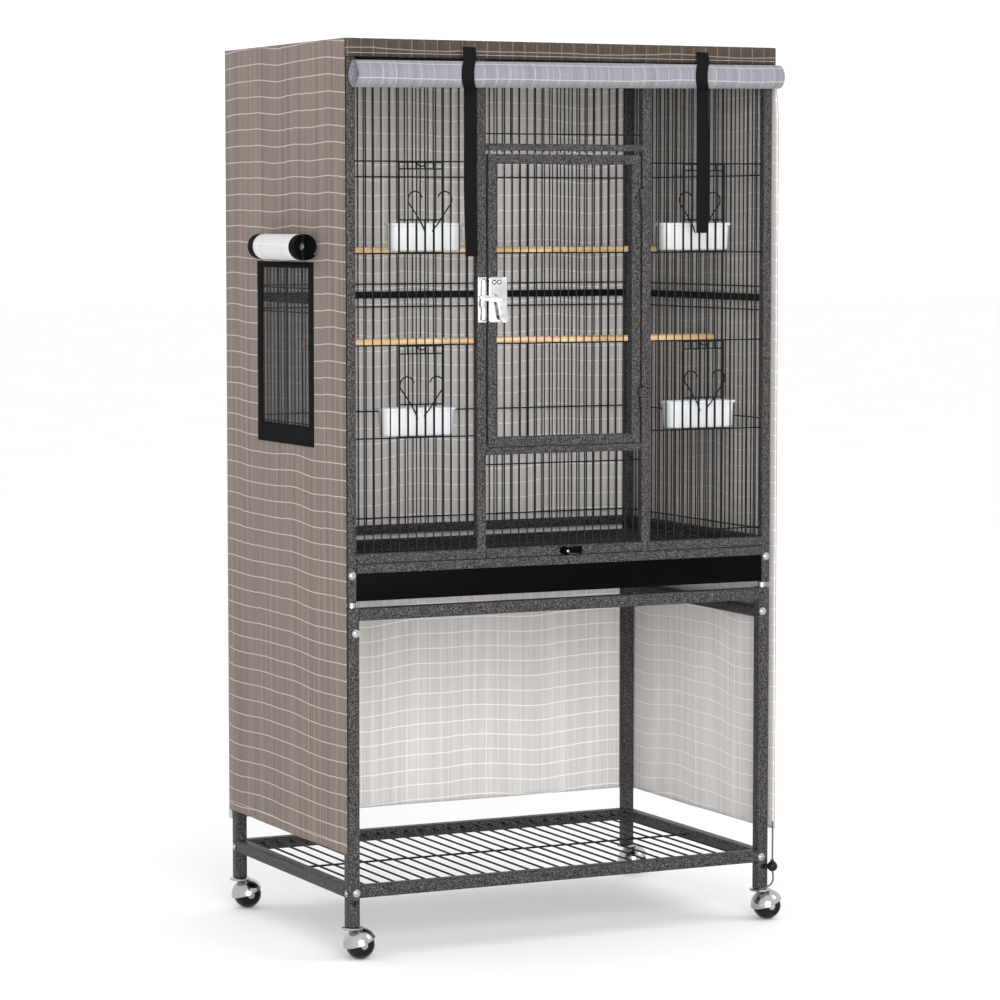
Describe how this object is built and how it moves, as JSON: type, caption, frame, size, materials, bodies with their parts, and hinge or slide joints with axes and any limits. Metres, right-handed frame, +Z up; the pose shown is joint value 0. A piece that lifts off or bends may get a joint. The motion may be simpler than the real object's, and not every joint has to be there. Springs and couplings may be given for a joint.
{
  "type": "bird cage on stand",
  "caption": "Barred bird cage on a wheeled stand with shelf: hinged door, sliding feeder doors, tray and grate, cups and perches, under a fabric cover with its front flap rolled up.",
  "frame": {"origin": "under the middle of the overall box, on the floor", "axes": "+X to the right seen from the front, -Y out of the front with the door, +Z up"},
  "size_m": [0.8648, 0.5708, 1.489],
  "materials": {
    "hammered_steel": "hammered powder coat",
    "black_wire": "satin powder coat",
    "black_enamel": "satin",
    "chrome": "polished",
    "caster_black": "gloss",
    "white_plastic": "satin gloss",
    "pine": "bare sanded",
    "cover_check": "woven, with pale check lines",
    "cover_lining": "silver-grey coated lining",
    "black_netting": "open net",
    "black_webbing": "flat webbing",
    "grey_cord": "braided",
    "black_plastic": "matte"
  },
  "bodies": {
    "root": {"cord_lock": "black_plastic", "cover_back": "cover_check", "cover_left": "cover_check", "cover_right": "cover_check", "cover_top": "cover_check", "cup_hanger_lower_left": "black_wire", "cup_hanger_lower_right": "black_wire", "cup_hanger_upper_left": "black_wire", "cup_hanger_upper_right": "black_wire", "cup_lower_left": "white_plastic", "cup_lower_right": "white_plastic", "cup_upper_left": "white_plastic", "cup_upper_right": "white_plastic", "drawstring": "grey_cord", "front_flap_roll": "cover_lining", "grille_left": "hammered_steel", "grille_over_door": "hammered_steel", "grille_right": "hammered_steel", "grille_under_door": "hammered_steel", "latch_keeper": "chrome", "leg_back_left": "hammered_steel", "leg_back_right": "hammered_steel", "leg_front_left": "hammered_steel", "leg_front_right": "hammered_steel", "panel_back": "hammered_steel", "panel_left": "hammered_steel", "panel_right": "hammered_steel", "panel_top": "hammered_steel", "perch_lower": "pine", "perch_upper": "pine", "shelf_rack": "hammered_steel", "stand_rail_back": "hammered_steel", "stand_rail_front": "hammered_steel", "stand_rail_left": "hammered_steel", "stand_rail_right": "hammered_steel", "strap_left": "black_webbing", "strap_right": "black_webbing", "tray_runner_left": "hammered_steel", "tray_runner_right": "hammered_steel", "window_flap_roll": "cover_lining", "window_mesh": "black_netting"},
    "door": {"door": "hammered_steel", "latch_plate": "chrome"},
    "latch": {"latch_lever": "chrome"},
    "tray": {"tray": "black_enamel"},
    "grate": {"grate": "hammered_steel"},
    "catch": {"tray_catch": "hammered_steel", "catch_screw": "chrome"},
    "feeder_lower_left": {"feeder_door_lower_left": "black_wire"},
    "feeder_lower_right": {"feeder_door_lower_right": "black_wire"},
    "feeder_upper_left": {"feeder_door_upper_left": "black_wire"},
    "feeder_upper_right": {"feeder_door_upper_right": "black_wire"},
    "caster_front_left": {"caster_hood_front_left": "chrome"},
    "wheel_front_left": {"caster_wheel_front_left": "caster_black"},
    "caster_front_right": {"caster_hood_front_right": "chrome"},
    "wheel_front_right": {"caster_wheel_front_right": "caster_black"},
    "caster_back_left": {"caster_hood_back_left": "chrome"},
    "wheel_back_left": {"caster_wheel_back_left": "caster_black"},
    "caster_back_right": {"caster_hood_back_right": "chrome"},
    "wheel_back_right": {"caster_wheel_back_right": "caster_black"}
  },
  "joints": [
    {"name": "door_swing", "type": "hinge", "parent": "root", "child": "door", "pos_m": [0.15194, -0.24451, 1.07], "axis": [0, 0, 1], "range_deg": [0, 120]},
    {"name": "latch_turn", "type": "hinge", "parent": "door", "child": "latch", "pos_m": [-0.11481, -0.24621, 1.07], "axis": [0, 1, 0], "range_deg": [0, 60]},
    {"name": "tray_slide", "type": "slide", "parent": "root", "child": "tray", "axis": [0, -1, 0], "range_m": [0, 0.4]},
    {"name": "grate_slide", "type": "slide", "parent": "root", "child": "grate", "axis": [0, 1, 0], "range_m": [-0.42, 0]},
    {"name": "catch_turn", "type": "hinge", "parent": "root", "child": "catch", "pos_m": [0.00619, -0.24621, 0.65415], "axis": [0, 1, 0], "range_deg": [0, 90]},
    {"name": "feeder_lower_left_slide", "type": "slide", "parent": "root", "child": "feeder_lower_left", "axis": [0, 0, 1], "range_m": [0, 0.1]},
    {"name": "feeder_lower_right_slide", "type": "slide", "parent": "root", "child": "feeder_lower_right", "axis": [0, 0, 1], "range_m": [0, 0.1]},
    {"name": "feeder_upper_left_slide", "type": "slide", "parent": "root", "child": "feeder_upper_left", "axis": [0, 0, 1], "range_m": [0, 0.1]},
    {"name": "feeder_upper_right_slide", "type": "slide", "parent": "root", "child": "feeder_upper_right", "axis": [0, 0, 1], "range_m": [0, 0.1]},
    {"name": "swivel_front_left", "type": "hinge", "parent": "root", "child": "caster_front_left", "pos_m": [-0.37331, -0.2297, 0.05], "axis": [0, 0, 1], "continuous": true},
    {"name": "roll_front_left", "type": "hinge", "parent": "caster_front_left", "child": "wheel_front_left", "pos_m": [-0.35931, -0.2297, 0.024], "axis": [0, 1, 0], "continuous": true},
    {"name": "swivel_front_right", "type": "hinge", "parent": "root", "child": "caster_front_right", "pos_m": [0.39169, -0.2297, 0.05], "axis": [0, 0, 1], "continuous": true},
    {"name": "roll_front_right", "type": "hinge", "parent": "caster_front_right", "child": "wheel_front_right", "pos_m": [0.40569, -0.2297, 0.024], "axis": [0, 1, 0], "continuous": true},
    {"name": "swivel_back_left", "type": "hinge", "parent": "root", "child": "caster_back_left", "pos_m": [-0.37331, 0.25729, 0.05], "axis": [0, 0, 1], "continuous": true},
    {"name": "roll_back_left", "type": "hinge", "parent": "caster_back_left", "child": "wheel_back_left", "pos_m": [-0.35931, 0.25729, 0.024], "axis": [0, 1, 0], "continuous": true},
    {"name": "swivel_back_right", "type": "hinge", "parent": "root", "child": "caster_back_right", "pos_m": [0.39169, 0.25729, 0.05], "axis": [0, 0, 1], "continuous": true},
    {"name": "roll_back_right", "type": "hinge", "parent": "caster_back_right", "child": "wheel_back_right", "pos_m": [0.40569, 0.25729, 0.024], "axis": [0, 1, 0], "continuous": true}
  ]
}
